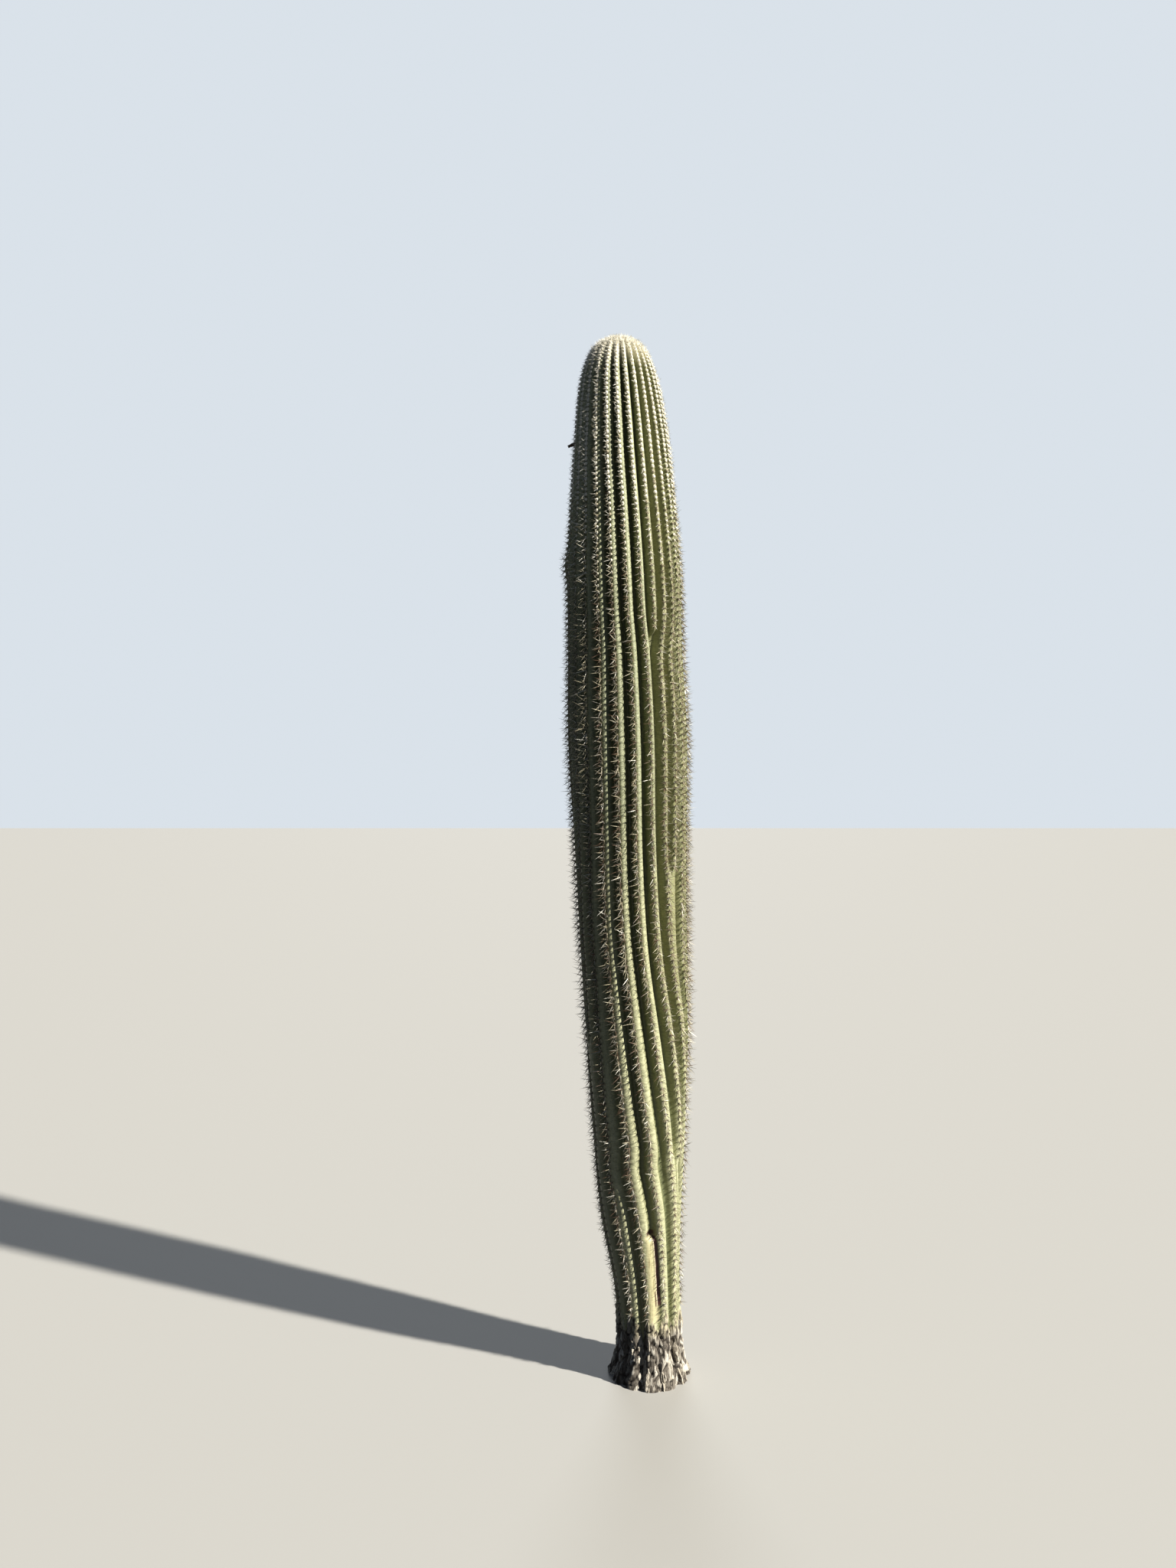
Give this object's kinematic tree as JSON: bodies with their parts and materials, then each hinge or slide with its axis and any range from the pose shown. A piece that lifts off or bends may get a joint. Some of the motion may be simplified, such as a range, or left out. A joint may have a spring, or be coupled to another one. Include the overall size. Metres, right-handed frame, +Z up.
{
  "type": "saguaro cactus",
  "caption": "Tall armless saguaro: a ribbed green column with a narrower corky foot, a row of spines along every rib and a pale woolly tip, rooted in the ground.",
  "frame": {"origin": "middle of the flat cut through the foot of the stem, at ground level", "axes": "+Z up along the stem, front of the plant facing -Y, so that the stem leans towards -X as it rises"},
  "size_m": [0.5275, 0.5161, 4.0354],
  "materials": {
    "skin": "satin",
    "bark": "matte",
    "spines": "satin",
    "wool": "matte",
    "fruit": "matte"
  },
  "bodies": {
    "root": {"stem": "skin", "spine_row_01": "spines", "spine_row_02": "spines", "spine_row_03": "spines", "spine_row_04": "spines", "spine_row_05": "spines", "spine_row_06": "spines", "spine_row_07": "spines", "spine_row_08": "spines", "spine_row_09": "spines", "spine_row_10": "spines", "spine_row_11": "spines", "spine_row_12": "spines", "spine_row_13": "spines", "spine_row_14": "spines", "spine_row_15": "spines", "spine_row_16": "spines", "spine_row_17": "spines", "spine_row_18": "spines", "spine_row_19": "spines", "spine_row_20": "spines", "spine_row_21": "spines", "spine_row_22": "spines", "spine_row_23": "spines", "spine_row_24": "spines", "spine_row_25": "spines", "spine_row_26": "spines", "crown_spines": "wool", "dried_fruit": "fruit"}
  },
  "joints": []
}
